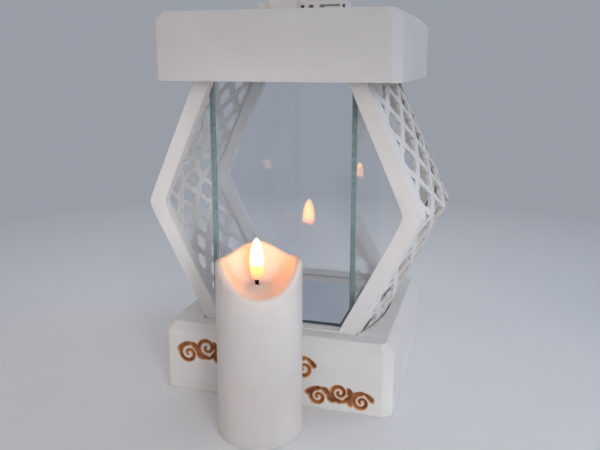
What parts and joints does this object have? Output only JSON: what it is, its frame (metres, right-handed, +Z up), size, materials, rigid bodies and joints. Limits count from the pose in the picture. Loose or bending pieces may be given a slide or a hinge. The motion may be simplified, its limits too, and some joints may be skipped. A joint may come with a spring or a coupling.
{
  "type": "candle lantern with LED pillar candle",
  "caption": "White hexagonal lantern on a block base, with a lift-off block lid, bowed lattice sides and a glass box, and a battery pillar candle with a wavy rim standing in front",
  "frame": {"origin": "centre of the lantern base's underside", "axes": "+Z up; the lantern's front window and the candle face -Y; +X to the right seen from the front"},
  "size_m": [0.2885, 0.283, 0.3893],
  "materials": {
    "white_paint": "satin white paint on wood board",
    "bare_board": "raw fibreboard",
    "screw_steel": "plain zinc",
    "clear_glass": "clear float glass with green edges",
    "mirror_glass": "silvered glass with dark edges",
    "wax": "smooth translucent wax",
    "white_plastic": "moulded",
    "circuit_green": "solder mask",
    "battery_case": "printed sleeve, plain",
    "flame_resin": "clear resin, lit from inside",
    "black_plastic": "matt black"
  },
  "bodies": {
    "lantern": {"base_block": "white_paint", "base_bottom_plate": "bare_board", "base_glue_block_front_left": "bare_board", "base_glue_block_front_right": "bare_board", "base_glue_block_back_right": "bare_board", "base_glue_block_back_left": "bare_board", "base_screw_front_left": "screw_steel", "base_screw_front_right": "screw_steel", "base_screw_back_right": "screw_steel", "base_screw_back_left": "screw_steel", "mirror_tile": "mirror_glass", "front_frame": "white_paint", "back_frame": "white_paint", "lattice_upper_left": "white_paint", "lattice_upper_right": "white_paint", "lattice_lower_left": "white_paint", "lattice_lower_right": "white_paint", "glass_front": "clear_glass", "glass_back": "clear_glass", "glass_left": "clear_glass", "glass_right": "clear_glass"},
    "lid": {"lid_block": "white_paint", "lid_inner_board": "white_paint", "lid_glue_block_front_left": "bare_board", "lid_glue_block_front_right": "bare_board", "lid_glue_block_back_right": "bare_board", "lid_glue_block_back_left": "bare_board", "lid_screw_front_left": "screw_steel", "lid_screw_front_right": "screw_steel", "lid_screw_back_right": "screw_steel", "lid_screw_back_left": "screw_steel", "handle_rail": "white_paint", "handle_post": "white_paint", "handle_screw_left": "screw_steel", "handle_screw_right": "screw_steel"},
    "candle": {"wax_body": "wax", "core_housing": "white_plastic", "bottom_cap": "white_plastic", "battery_cradle": "white_plastic", "battery_cell_left": "battery_case", "battery_cell_right": "battery_case", "contact_strip": "screw_steel", "circuit_board": "circuit_green", "switch_body": "black_plastic", "led_lamp": "flame_resin", "led_lead_left": "screw_steel", "led_lead_right": "screw_steel", "wick": "black_plastic", "flame": "flame_resin"},
    "battery_door": {"battery_door": "white_plastic", "contact_spring_left": "screw_steel", "contact_spring_right": "screw_steel"},
    "switch_slider": {"switch_slider": "black_plastic"}
  },
  "joints": [
    {"name": "lid_lift", "type": "slide", "parent": "lantern", "child": "lid", "axis": [0, 0, 1], "range_m": [0, 0.2]},
    {"name": "candle_lift", "type": "slide", "parent": "lantern", "child": "candle", "axis": [0, 0, 1], "range_m": [0, 0.25]},
    {"name": "battery_door_hinge", "type": "hinge", "parent": "candle", "child": "battery_door", "pos_m": [0.0048, -0.1303, 0.0005], "axis": [1, 0, 0], "range_deg": [0, 90]},
    {"name": "switch_slide", "type": "slide", "parent": "candle", "child": "switch_slider", "axis": [1, 0, 0], "range_m": [0, 0.004]}
  ]
}
